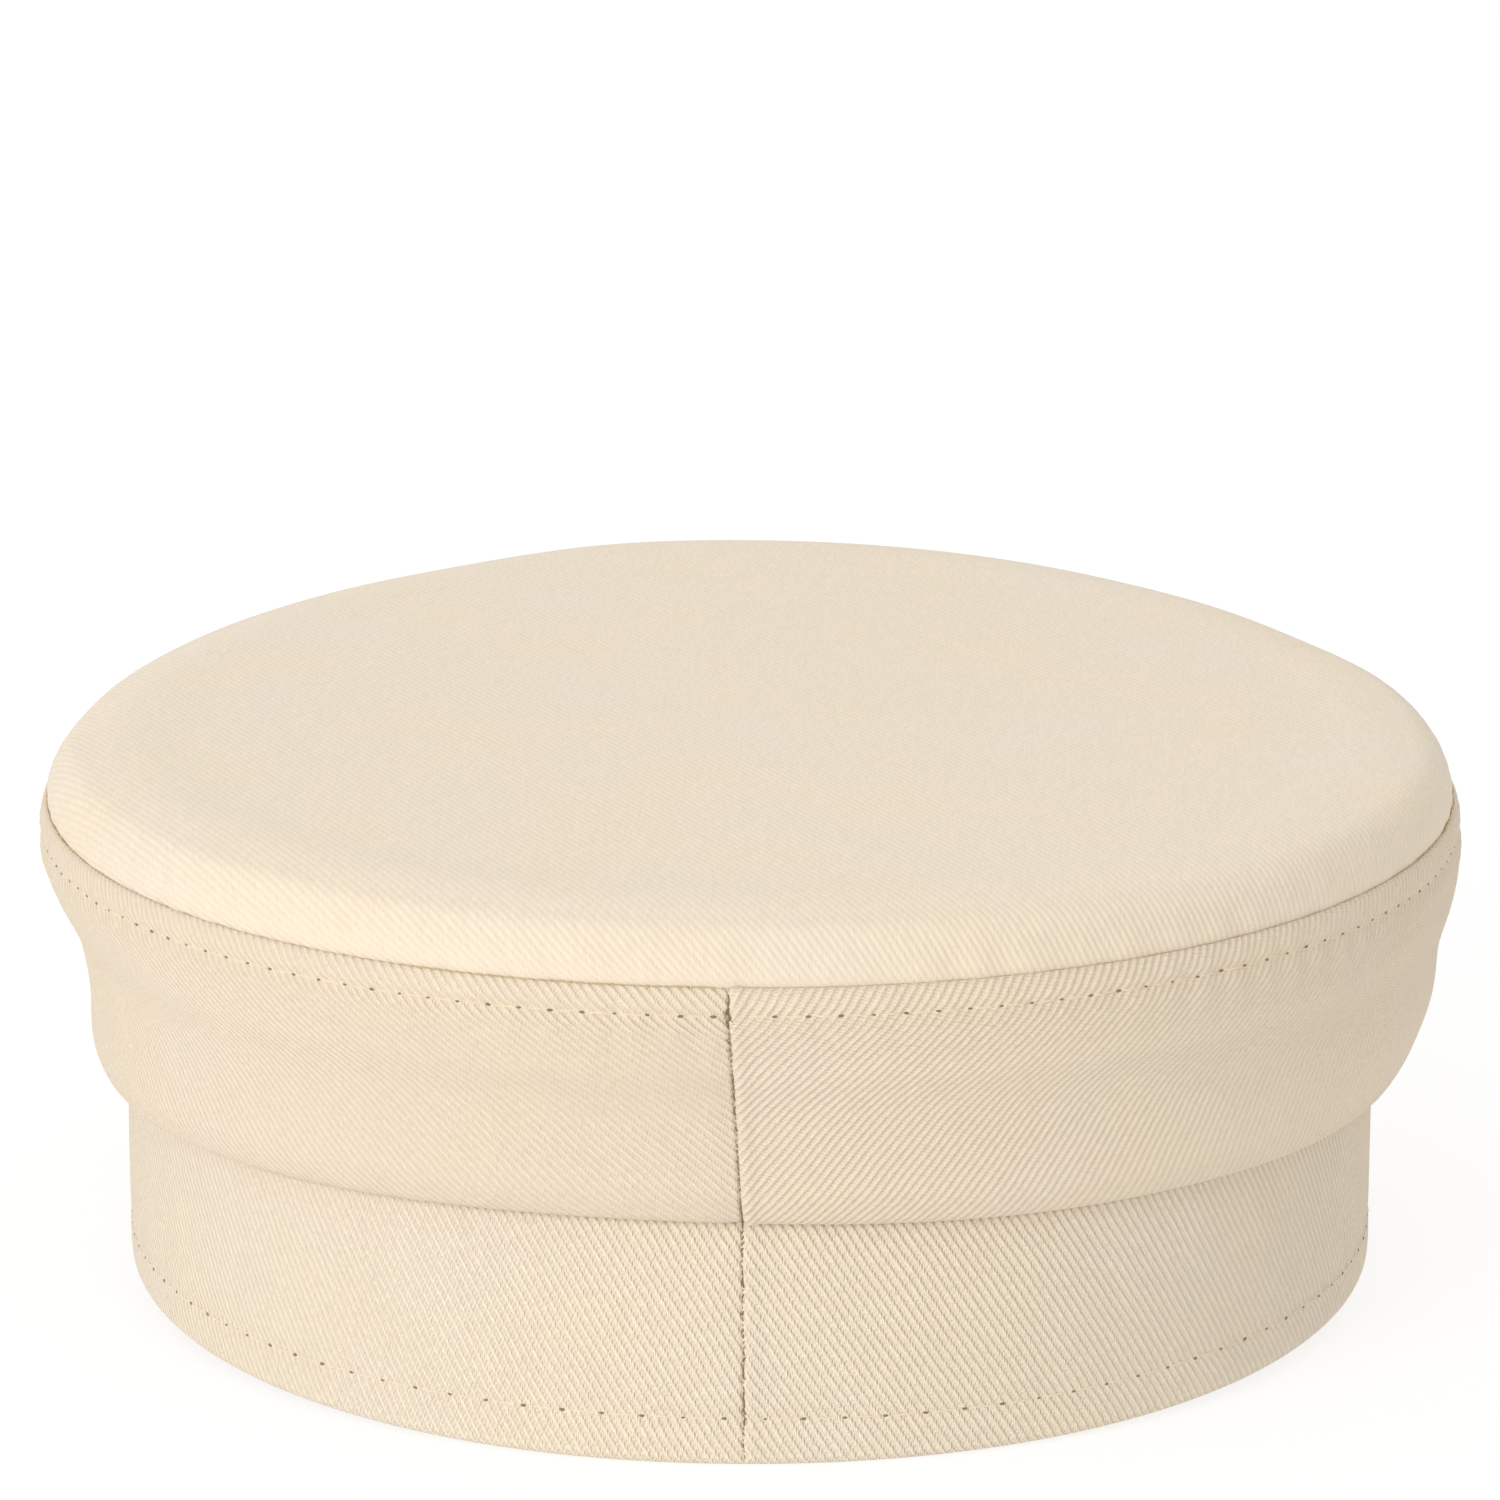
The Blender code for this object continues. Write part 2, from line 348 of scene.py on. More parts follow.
def makeWeaveGroup():
    # 3/1 cotton drill: its height from 0 to 1, with each float a pick lower than the last, so that they lie
    # on steep ribs down to the right; a chance number for each float; and the pits where a yarn dips under,
    # which get painted shade
    group = bpy.data.node_groups.new("twillWeave", "ShaderNodeTree")
    group.interface.new_socket("Cloth", in_out="INPUT", socket_type="NodeSocketVector")
    for name in ("Height", "Chance", "Pit"):
        group.interface.new_socket(name, in_out="OUTPUT", socket_type="NodeSocketFloat")

    def calc(*values):
        return addMath(group, *values)

    source = addNode(group, "NodeGroupInput")
    split = addNode(group, "ShaderNodeSeparateXYZ", {0: source})
    across = calc("DIVIDE", split.outputs["X"], twill["warpPitch"])
    along = calc("DIVIDE", split.outputs["Y"], twill["weftPitch"])
    yarn = calc("FLOOR", across)
    side = calc("MULTIPLY_ADD", calc("FRACT", across), 2.0, -1.0)
    edge = calc("MULTIPLY", side, side)
    roundness = calc("MULTIPLY_ADD", edge, -twill["flattening"], 1.0)
    picks = calc("DIVIDE", calc("ADD", along, yarn), twill["repeat"])
    arch = calc("MULTIPLY", calc("FRACT", picks), math.pi / twill["floatShare"])
    plump = calc("MAXIMUM", calc("SINE", arch))
    floatPlace = addNode(group, "ShaderNodeCombineXYZ", {"X": yarn, "Y": calc("FLOOR", picks)})
    chance = addNode(group, "ShaderNodeTexWhiteNoise", {"Vector": floatPlace}, noise_dimensions="2D")
    thickness = calc("MULTIPLY_ADD", chance, 1 - twill["lowestFloat"], twill["lowestFloat"])
    yarns = calc("MULTIPLY", calc("MULTIPLY", plump, roundness), thickness)
    # the ribs swell and sink smoothly across the yarns
    onRib = calc("ADD", calc("ADD", along, across), -0.5 - twill["repeat"] * twill["floatShare"] / 2)
    wave = calc("COSINE", calc("MULTIPLY", onRib, 2 * math.pi / twill["repeat"]))
    swell = calc("MULTIPLY_ADD", wave, twill["swellShare"] / 2, twill["swellShare"] / 2)
    ribbed = calc("MULTIPLY_ADD", yarns, 1 - twill["swellShare"], swell)
    under = calc("SUBTRACT", 1.0, calc("MINIMUM", calc("MULTIPLY", plump, 2.0), 1.0))
    # the pits' mask, where shade is painted
    pit = calc("MULTIPLY", calc("SUBTRACT", 1.0, edge), under)
    height = calc("MULTIPLY_ADD", calc("MULTIPLY", edge, under), twill["knobHeight"], ribbed)
    addNode(group, "NodeGroupOutput", {"Height": height, "Chance": chance, "Pit": pit})
    return group


def makeTwill(name, looks):
    # Cotton drill, woven of soft spun yarn: matt ribs with dotted valleys, where shade is painted, and a
    # bloom of fibres at grazing angles
    material, tree, shader = startMaterial(name)

    def noise(place, scale, detail, roughness=0.5):
        return addNode(tree, "ShaderNodeTexNoise", {
            "Vector": place, "Scale": scale, "Detail": detail, "Roughness": roughness})

    def scaled(operation, a, b):
        return addNode(tree, "ShaderNodeVectorMath", {0: a, 1: b}, operation=operation)

    def ranged(value, low, high, least, most):
        return addNode(tree, "ShaderNodeMapRange", {
            "Value": value, "From Min": low, "From Max": high, "To Min": least, "To Max": most})

    def mixed(share, a, b):
        return addNode(tree, "ShaderNodeMix", {0: share, 6: a, 7: b}, data_type="RGBA").outputs[2]

    uv = addNode(tree, "ShaderNodeUVMap", uv_map="clothMm")
    # the yarns wander a little from straight
    wander = scaled("SUBTRACT", noise(uv, looks["wanderScale"], 1.0).outputs["Color"], (0.5, 0.5, 0.5))
    cloth = scaled("ADD", uv, scaled("MULTIPLY", wander, (looks["wander"], looks["wander"], 0.0)))
    woven = addNode(tree, "ShaderNodeGroup", node_tree=weaveGroup)
    tree.links.new(cloth.outputs[0], woven.inputs["Cloth"])
    # each yarn is a little thicker or darker here and there, and fuzzy all over
    slub = noise(scaled("MULTIPLY", cloth, looks["slubScale"]), 1.0, 2.0)
    slubHeight = addMath(tree, "MULTIPLY_ADD", slub, *looks["slubHeight"])
    fuzz = noise(cloth, looks["fuzzScale"], 2.0, looks["fuzzRoughness"])
    ribs = addMath(tree, "MULTIPLY", woven.outputs["Height"], slubHeight)
    relief = addMath(tree, "MULTIPLY_ADD", fuzz, looks["fuzz"], ribs)
    # the ribs are pressed flat where the panel was ironed
    pressed = addNode(tree, "ShaderNodeAttribute", attribute_name="ribShare").outputs["Fac"]
    bump = addNode(tree, "ShaderNodeBump", {
        "Height": relief, "Distance": looks["ribDepth"] * mm, "Strength": pressed})
    # broad faint clouds, as undyed cotton has
    cloudShare = ranged(noise(uv, looks["cloudScale"], 3.0), *looks["cloudRange"], 0.0, 1.0)
    tint = mixed(cloudShare, toLinear(looks["warmCloud"]), toLinear(looks["pinkCloud"]))
    top = mixed(0.5, toLinear(looks["ribTop"]), tint)
    # painted shade in the pits, deeper where the ribs stand out
    pit = mixed(pressed, top, toLinear(looks["pit"]))
    # no two floats take quite the same shade
    dyeShare = ranged(woven.outputs["Chance"], 0.0, 1.0, looks["darkestFloat"], 1.0)
    body = mixed(woven.outputs["Pit"], top, pit)
    # painted shade, from none on the ironed flat to the most on the roll
    rollShadeScale = ranged(pressed, looks["flatShare"], looks["rollShare"], 1.0, 1.0 - looks["rollPaintedShade"])
    shade = addMath(tree, "MULTIPLY", dyeShare, rollShadeScale)
    colour = addNode(tree, "ShaderNodeVectorMath", {0: body, "Scale": shade}, operation="SCALE")
    feedNode(tree, shader, {
        "Base Color": colour, "Normal": bump, "Roughness": looks["roughness"],
        "Specular IOR Level": looks["specular"], "Sheen Weight": looks["sheen"],
        "Sheen Roughness": looks["sheenRoughness"]})
    return material


spun = {
    "speckScale": 900.0,  # per metre
    "speckShadeShare": 0.72,
    "bumpDepth": 0.06,
}


def makeSpun(name, colour, roughness, sheen=0.0):
    # spun thread or yarn: matt, with darker specks of painted shade between its fibres
    material, tree, shader = startMaterial(name)
    place = addNode(tree, "ShaderNodeTexCoord").outputs["Object"]
    speck = addNode(tree, "ShaderNodeTexNoise", {
        "Vector": place, "Scale": spun["speckScale"], "Detail": 2.0})
    # painted shade between the fibres, where the bump is low
    dark = tuple(c * spun["speckShadeShare"] for c in toLinear(colour)[:3]) + (1.0,)
    mix = addNode(tree, "ShaderNodeMix", {0: speck, 6: dark, 7: toLinear(colour)}, data_type="RGBA")
    bump = addNode(tree, "ShaderNodeBump", {"Height": speck, "Distance": spun["bumpDepth"] * mm})
    feedNode(tree, shader, {
        "Base Color": mix.outputs[2], "Normal": bump, "Roughness": roughness, "Sheen Weight": sheen})
    return material


weaveGroup = makeWeaveGroup()
# the top's cloth, with painted shade on its roll
topTwill = makeTwill("creamCottonTwillTop", {**twill, "rollPaintedShade": 0.09})
# the same cloth, with painted shade on the crown side and painted light on the headband
sideTwill = makeTwill("creamCottonTwillSideShaded", {**twill, **sideShadedColours})
headbandTwill = makeTwill("creamCottonTwillHeadbandLit", {**twill, **bandLitColours, "ribDepth": 0.46})
peakTwill = makeTwill("creamCottonTwillPeak", twill)
# Spun polyester sewing thread, two plies twisted: matt, and the same shade as the cloth
threadMaterial = makeSpun("creamSpunThread", "#f1e0c2", 0.8, sheen=0.1)
# The shadow and bruised yarn round a needle hole
holeMaterial = makeSpun("needleHole", "#947f5a", 0.95)
# The sewing thread and yarn ends down in the seam at the back, dark brown with the groove's painted shade
seamShadeMaterial = makeSpun("brownSeamThreadAndShade", "#8f7854", 0.9)
# The seam allowance's raw yarn that peeps out of the rim seam, a shade darker than the cloth: painted shade
rimShadeMaterial = makeSpun("tanYarnEndsRimShade", "#d3ba8e", 0.9)
print("materials made")


# Back seam, which runs down the crown side and the headband

backSeam = {
    "depth": -0.20,  # mm out from the cloth, where the sewing thread shows
    # the groove's depth and half width in mm and how steep its sides are, then a ridge on either side of it
    "groove": (-0.50, 0.24, 1.3),
    "rightRidge": (0.34, 1.0, 0.9),
    "leftRidge": (-0.18, -0.8, 1.2),
    # spacing, length and radius of the bits of thread in mm, how far they lean in degrees, and their
    # spread in size
    "thread": (0.75, 0.80, 0.075, 38, 0.55),
    "fray": (0.70, 1.10, 0.03, 75, 0.45),
}


def seamRelief(distance):
    # the seam is a narrow groove; the cloth on its right rides up over the cloth on its left
    depth, halfWidth, steepness = backSeam["groove"]
    groove = depth * np.exp(-((np.abs(distance) / halfWidth) ** steepness))
    right = ridge(distance, backSeam["rightRidge"]) * (distance > 0)
    left = ridge(distance, backSeam["leftRidge"]) * (distance < 0)
    return groove + right + left


# Headband

headband = {
    # half width, depth behind and ahead, squareness behind and ahead
    "oval": (87.3, 97.8, 97.8, 2.06, 2.06),
    "wall": 2.6,
    "topBehind": 33.2,
    "topAhead": 28.1,
    "edgeRounding": 1.2,
    "stitchHeight": 6.4,
    "stitchLength": 5.27,
    "seamAtTop": -1.0,  # how far the back seam stands to the right of the middle
    "seamAtFoot": -0.7,
    "slants": (126.5, 123.5),  # of the ribs right and left of the seam
    "clothEase": 1.03,  # how much the weave is stretched
    # the cross-section's rows: how many down the outside and round each edge, and where they are up
    # the inside
    "outsideRows": 34,
    "lowestOutside": 0.05,
    "edgeRows": 6,
    "insideRows": (0.08, 0.2, 0.4, 0.6, 0.8, 1.0),
    "seamWander": (0.07, [2, 4, 7, 11], 14),
    "softWaves": (0.16, [3, 5, 8, 11], 4),
    "stitchPull": (0.20, 0.08, 0.8),
    "hem": (0.10, 3.2, 2.0),
    "seamShare": 0.8,  # how strong the back seam's relief is here
    "footFade": 1.5,  # mm over which the relief dies away to the lower edge
    "threadFrom": 1.0,
}


def makeHeadband(columns):
    oval, wall, rounding = headband["oval"], headband["wall"], headband["edgeRounding"]
    # the wall's cross-section, from its hidden top edge down the outside and up the inside:
    # grow: how far out of the oval; share: of the height; lift: mm above that share
    down = [(0.0, up, 0.0) for up in np.linspace(1.0, headband["lowestOutside"], headband["outsideRows"])]
    turn = np.radians(np.linspace(0, 90, headband["edgeRows"]))
    outer = [(rounding * (math.cos(a) - 1), 0.0, rounding * (1 - math.sin(a))) for a in turn]
    inner = [(rounding * (1 - math.sin(a)) - wall, 0.0, rounding * (1 - math.cos(a))) for a in turn]
    up = [(-wall, share, 0.0) for share in headband["insideRows"]]
    grow, share, lift = np.array(down + outer + inner + up)[::-1].T
    seamX = blend(headband["seamAtFoot"], headband["seamAtTop"], share)
    seamX = seamX + ripple(share, 1.0, headband["seamWander"])
    angle = seamedAngles(columns, seamX, oval[1])
    height = foldHeight(angle) * share[:, None] + lift[:, None]
    x, y = ovalPoints(oval, angle, grow[:, None])
    points = np.stack([x, y, height], -1)
    fromSeam = signed(columns)[None, :] * oval[1]
    shown = grow > -wall / 2
    outside = shown[:, None] * smoothStep(height / headband["footFade"])
    length, total, place = roundCap(points[-1])
    soft = ripple(place, total, headband["softWaves"]) * np.sin(math.pi * share)[:, None]
    stitched = stitchPull(height - headband["stitchHeight"], place, total, headband)
    hem = ridge(height, headband["hem"])
    base, normals = points, gridNormals(points)
    relief = (soft + stitched + hem + headband["seamShare"] * seamRelief(fromSeam)) * outside
    points = base + normals * relief[..., None]
    section = alongLength(points[:, len(columns) // 4])
    cloth = turningCloth(length, section, headband)
    # the first row comes again at the end and is merged, so that the wall is closed all round
    cloth = np.concatenate([cloth, cloth[-1:] + (0, wall)])
    mesh = gridMesh("headbandCloth", np.concatenate([points, points[:1]]), cloth)
    mergeDoubles(mesh)
    fromStitch = np.abs(height[:, 0] - headband["stitchHeight"])
    stitchRow = int(np.argmin(np.where(shown, fromStitch, np.inf)))
    seamRows = shown & (height[:, 0] > headband["threadFrom"])
    seamPath = base[seamRows, 0] + normals[seamRows, 0] * backSeam["depth"]
    return mesh, points[stitchRow], seamPath


# Crown side, from the rim seam down to the roll over the headband

rim = {
    "oval": (96.7, 105.8, 117.5, 2.05, 2.00),
    "height": 64.8,
    "frontLift": 2.8,
    "frontLiftSpread": 37.0,
    "seamGap": 0.05,
    "turnIn": 2.6,
    "wall": 1.5,
    # spacing, length, radius, lean and spread in size of the bits of raw yarn that show in the seam, with
    # its painted shade, between these angles from the back
    "yarnEnds": (0.8, 1.1, 0.09, 24, 0.45),
    "yarnStretches": [(-26, -1), (62, 105), (-105, -66)],
    "yarnFullness": 0.24,  # the place on the crown side's profile where they lie, by its fullness there
}

crownSide = {
    "fullness": 3.0,
    "gap": 0.3,
    "wall": 1.0,  # thin enough to turn in sharply at the rim
    "bendReach": 2.4,  # mm over which the cloth evens out a bend
    "stitchLength": 4.1,
    "seamAtTop": -2.7,
    "seamAtFoot": -1.0,
    "slants": (48.0, 139.0),
    # how steeply the cloth at the foot was dragged round, as a share of height: at the seam and how much
    # more at the sides, right and left of the seam
    "footDrag": ((0.15, 1.45), (0.35, 0.35)),
    "footDragHeight": 22.0,
    "footDragTurn": 60,  # degrees over which it changes, and where it has died away towards the front
    "footDragEnd": 150,
    "stripLean": 0.30,
    "clothEase": 0.93,
    # how far apart the mesh's rows stand up to each distance from the foot
    "rowSteps": [(8.0, 0.62), (29.0, 0.85), (33.5, 0.5), (99.0, 0.24)],
    # how wide and high the profile is in mm, which spaces its rows, and how many it is worked out in
    "profileSize": (9.4, 33),
    "profileRows": 400,
    # out: share of the way from the headband's oval to the rim's; full: share of the fullness;
    # up: share of the height
    "sections": [
        (0.00, 0.00, 0.000), (0.16, 0.20, 0.000), (0.30, 0.33, 0.030), (0.40, 0.48, 0.090),
        (0.52, 0.47, 0.210), (0.60, 0.42, 0.320), (0.66, 0.32, 0.440), (0.74, 0.41, 0.560),
        (0.85, 0.84, 0.680), (0.95, 0.82, 0.830), (1.00, 0.57, 0.915), (1.00, 0.57, 0.955),
        (1.00, 0.53, 0.985), (1.00, 0.46, 1.005), (1.00, 0.34, 1.020), (1.00, 0.22, 1.024),
        (1.00, 0.14, 1.018), (1.00, 0.08, 1.000), (1.00, 0.00, 0.995),
    ],
    "topstitchSection": 10,
    # around and spread in degrees from the middle of the back, up and tall in shares of the height,
    # depth in shares of the fullness
    "folds": [(-90, 45, 0.33, 0.20, -0.68), (-87, 38, 0.65, 0.14, -0.70), (90, 45, 0.38, 0.20, 0.62),
              (88, 40, 0.58, 0.10, 0.20)],
    "droops": [(18, 24, 0.33)],
    # bends are evened out from this far above the foot to this far below the topstitch
    "easeEnds": (3.0, 1.0),
    "seamWander": (0.10, [2, 3, 5, 8, 12], 12),
    "stitchPull": (0.20, 0.12, 0.70),
    # ripples near the topstitch row, and the ridge that each of them runs along, in mm from the row
    "puckers": (0.10, range(60, 150, 7), 7),
    "puckerRidge": (1.0, -1.5, 3.5),
    "strip": (0.07, range(90, 190, 9), 8),
    "stripRidge": (1.0, 1.3, 0.9),
    "puffs": [(0.16, -1.9, 1.1), (0.12, 1.2, 0.8)],
    "softWaves": (0.16, [4, 6, 9, 13, 17], 9),
    "slantedWaves": (0.08, [11, 19, 27], 10),
    "waveSlant": 1.5,
    "softBody": (1.0, 0.45, 0.28),  # where the soft waves run, in shares of the height
    # the seam's relief dies away over this far from the foot, and over this far from this near to the rim
    "seamFoot": 2.5,
    "seamRim": (1.2, 0.6),
    "turnedCloth": 1.2,  # mm of cloth in the edge that is turned into the rim seam
    "threadEnds": (3.0, 2.4),  # how far from the foot and from the rim the seam's thread stops
    # where the seam frays, in mm from the topstitch row; how far the ends stray, and how it varies
    "frayed": (-5.0, 1.6),
    "frayPoints": 24,
    "stray": 0.55,
    "strayTurn": 2.4,
    "leastStray": 0.5,
}


def foldHeight(angle):
    # the roll over the headband is highest behind, and level from the sides forward
    forward = np.where(np.cos(angle) > 0, np.sin(angle) ** 2, 1.0)
    drop = sum(depth * nearAngle(angle, around, spread) for around, spread, depth in crownSide["droops"])
    height = blend(headband["topBehind"], headband["topAhead"], forward)
    return height - crownSide["fullness"] * drop


def frontLift(angle):
    return rim["frontLift"] * nearAngle(angle, 180, rim["frontLiftSpread"])


def sideFolds(angle, up):
    total = 0.0
    for around, spread, middle, tall, depth in crownSide["folds"]:
        total = total + depth * nearAngle(angle, around, spread) * bell(up - middle, tall)
    return crownSide["fullness"] * total


def makeCrownSide(columns):
    sections = np.array(crownSide["sections"])
    wide, high = crownSide["profileSize"]
    reference = np.stack([sections[:, 0] * wide + sections[:, 1] * crownSide["fullness"],
                          sections[:, 2] * high], -1)
    at, (out, full, up), marks = profile(crownSide, reference)
    stitchAt = marks[crownSide["topstitchSection"]]
    seamX = np.interp(up, [0, 1], [crownSide["seamAtFoot"], crownSide["seamAtTop"]])
    seamX = seamX + ripple(up, 1.0, crownSide["seamWander"])
    angle = seamedAngles(columns, seamX, rim["oval"][1])
    foot = foldHeight(angle) + crownSide["gap"]
    height = blend(foot, rim["height"] + frontLift(angle), up[:, None])
    oval = [np.broadcast_to(blend(a, b, out)[:, None], angle.shape)
            for a, b in zip(headband["oval"], rim["oval"])]
    grow = crownSide["fullness"] * full[:, None] + sideFolds(angle, up[:, None])
    points = np.stack([*ovalPoints(oval, angle, grow), height], -1)
    aboveFoot, belowStitch = crownSide["easeEnds"]
    base = easeRows(points, at, aboveFoot, stitchAt - belowStitch, crownSide["bendReach"])
    # round the cap in mm at the middle row, so that puckers and cloth keep their size
    length, total, place = roundCap(base[len(at) // 2])
    along = at[:, None]
    fromStitch = along - stitchAt
    pull = stitchPull(fromStitch, place, total, crownSide)
    pucker = ripple(place, total, crownSide["puckers"]) * ridge(fromStitch, crownSide["puckerRidge"])
    puff = sum(ridge(fromStitch, looks) for looks in crownSide["puffs"])
    strip = ripple(place, total, crownSide["strip"]) * ridge(fromStitch, crownSide["stripRidge"])
    body = ridge(up, crownSide["softBody"])[:, None]
    slanted = place + along * crownSide["waveSlant"]
    soft = ripple(place, total, crownSide["softWaves"]) + ripple(slanted, total, crownSide["slantedWaves"])
    fromSeam = signed(columns)[None, :] * rim["oval"][1]
    fade, short = crownSide["seamRim"]
    shown = smoothStep(at / crownSide["seamFoot"]) * smoothStep((at[-1] - short - at) / fade)
    shown = shown[:, None]
    relief = pull + pucker + puff + strip + soft * body + seamRelief(fromSeam) * shown
    normals = gridNormals(base)
    points = base + normals * relief[..., None]
    # the first row is tucked in over the headband's edge, and the last into the rim seam
    tucked = ovalPoints(headband["oval"], angle[0], -headband["wall"])
    inside = np.stack([*tucked, foot[0]], -1)[None]
    turned = ovalPoints(rim["oval"], angle[-1], -rim["turnIn"])
    seamEdge = np.stack([*turned, base[-1, :, 2]], -1)[None]
    across = np.concatenate([[-headband["wall"]], at, [at[-1] + crownSide["turnedCloth"]]])

    def drag(share, height):
        (rightSeam, rightSide), (leftSeam, leftSide) = crownSide["footDrag"]
        reach, over = crownSide["footDragHeight"], crownSide["footDragTurn"]
        fromBack = 360 * np.minimum(share, 1 - share)
        toSide = smoothStep(fromBack / over)
        foot = np.where(share < 0.5, rightSeam + rightSide * toSide, -leftSeam - leftSide * toSide)
        foot = foot * smoothStep((crownSide["footDragEnd"] - fromBack) / over)
        lean = crownSide["stripLean"] * np.cos(math.pi * share) * np.maximum(height - stitchAt, 0)
        return lean - foot * reach / 2 * np.clip(1 - height / reach, 0, 1) ** 2

    cloth = turningCloth(length, across, crownSide, linger=1.0, drag=drag)
    mesh = gridMesh("crownSideCloth", np.concatenate([inside, points, seamEdge]), cloth)
    stitchRow = int(np.argmin(np.abs(at - stitchAt)))
    seamLine = base[:, 0] + normals[:, 0] * backSeam["depth"]
    fromFoot, fromRim = crownSide["threadEnds"]
    seamPath = seamLine[(at > fromFoot) & (at < at[-1] - fromRim)]
    # the yarn ends stray to either side of the seam where the topstitch crosses it
    first, last = crownSide["frayed"]
    count = crownSide["frayPoints"]
    frayed = np.linspace(stitchAt + first, stitchAt + last, count)
    stray = crownSide["stray"] * np.sin(np.arange(count) * crownSide["strayTurn"])
    frayPath = np.stack([np.interp(frayed, at, seamLine[:, axis]) for axis in range(3)], -1)
    frayPath[:, 0] += stray * np.linspace(crownSide["leastStray"], 1.0, count)
    rimRow = int(np.argmin(np.where(up < 1, np.inf, np.abs(full - rim["yarnFullness"]))))
    return mesh, points[stitchRow], seamPath, frayPath, points[rimRow]


# Crown top, from the rim seam over the roll to the middle

crownTop = {
    "rise": 9.0,
    # mm between rows up to each distance from the seam, out of so many that the profile is worked out in
    "rowSteps": [(2.5, 0.3), (16.0, 0.62), (999.0, 3.2)],
    "profileRows": 900,
    "turnCloth": -4.0,  # degrees
    # how steeply the cloth was dragged along the rim, most at rimDragAngle round from the back
    "rimDrag": 0.40,
    "rimDragWidth": 14.0,
    "rimDragAngle": 80.0,
    "lengthRow": 6,  # the row, just outside the seam, that ripples are measured along
    # ripples, and the ridge that each of them runs along, in mm from the seam
    "puckers": (0.08, range(45, 130, 6), 21),
    "puckerRidge": (1.0, 5.5, 2.6),
    "rollWaves": (0.20, [3, 5, 8, 12, 17], 22),
    "rollRidge": (1.0, 10.0, 5.0),
    # the slack's height, its length and start each way, and how far from the seam it is full
    "slack": (0.22, (31, 0.7), (37, 1.9), 30),
    "flatFrom": 6.0,  # mm from the seam, where the ironed flat begins, and over how many it comes in
    "flatOver": 9.0,
    # across: share of the rim's oval; rise: share of the top's rise
    "sections": [
        (0.974, 0.000), (0.992, 0.000), (1.000, 0.003), (1.0035, 0.020), (1.0052, 0.060), (1.0062, 0.130),
        (1.0065, 0.200), (1.005, 0.310), (0.997, 0.540), (0.977, 0.790), (0.930, 0.930), (0.800, 0.970),
        (0.450, 0.990), (0.060, 1.000),
    ],
}


def makeCrownTop(columns):
    sections = np.array(crownTop["sections"])
    reference = np.stack([sections[:, 0] * rim["oval"][0], sections[:, 1] * crownTop["rise"]], -1)
    at, (across, rise), _ = profile(crownTop, reference)
    angle = columns[None, :]
    x, y = ovalPoints(rim["oval"], angle)
    x, y = x * across[:, None], y * across[:, None]
    lift = frontLift(angle) * across[:, None] ** 2
    height = rim["height"] + rim["seamGap"] + lift + crownTop["rise"] * rise[:, None]
    base = np.stack([x, y, height], -1)
    _, total, place = roundCap(base[crownTop["lengthRow"]])
    fromSeam = at[:, None]
    pucker = ripple(place, total, crownTop["puckers"]) * ridge(fromSeam, crownTop["puckerRidge"])
    roll = ripple(place, total, crownTop["rollWaves"]) * ridge(fromSeam, crownTop["rollRidge"])
    high, (xLength, xStart), (yLength, yStart), full = crownTop["slack"]
    slack = high * np.sin(x / xLength + xStart) * np.sin(y / yLength + yStart)
    slack = slack * np.clip(fromSeam / full, 0, 1)
    points = base + gridNormals(base) * (pucker + roll + slack)[..., None]
    # cloth coordinates keep their distance from the middle as the cloth runs over the roll
    fromMiddle = (at[-1] - at + np.linalg.norm(points[-1, 0, :2])) / rim["oval"][0]
    plan = np.stack(ovalPoints(rim["oval"], closeRow(columns)), -1)
    turn = math.radians(crownTop["turnCloth"])
    turned = plan @ np.array([[math.cos(turn), -math.sin(turn)], [math.sin(turn), math.cos(turn)]])
    around = np.stack([-turned[:, 1], turned[:, 0]], -1) / np.linalg.norm(turned, axis=1, keepdims=True)
    most = crownTop["rimDrag"] * (1 + np.cos(closeRow(columns) - math.radians(crownTop["rimDragAngle"])))
    width = crownTop["rimDragWidth"]
    drag = -most[None, :] * width / 2 * np.clip(1 - at[:, None] / width, 0, 1) ** 2
    cloth = fromMiddle[:, None, None] * turned[None] + drag[..., None] * around[None]
    toFlat = smoothStep((at - crownTop["flatFrom"]) / crownTop["flatOver"])
    pressed = blend(twill["rollShare"], twill["flatShare"], toFlat)
    middle = (points[-1].mean(axis=0), np.zeros(2))
    return gridMesh("crownTopCloth", points, cloth, pressed[:, None], middle=middle)


# Peak

peak = {
    "reach": 50.0,
    "tipReach": 4.0,
    "wall": 3.0,
    "seatHeight": 4.5,
    "seamGap": 0.3,
    "shelf": 1.5,
    "pointedness": 1.2,
    "halfAngle": 62.0,
    "middleSlope": 17.0,
    "sideSlope": 38.0,
    "camber": 0.5,
    "stitchInset": 5.0,
    "stitchLength": 4.4,
    "stitchPull": (-0.22, 0.8),
    "stitchedShare": 0.93,  # of the way out to the tips
    "columns": 141,
    "rows": 44,
    "firstRow": 0.03,
    "edgeRounding": 0.9,
}


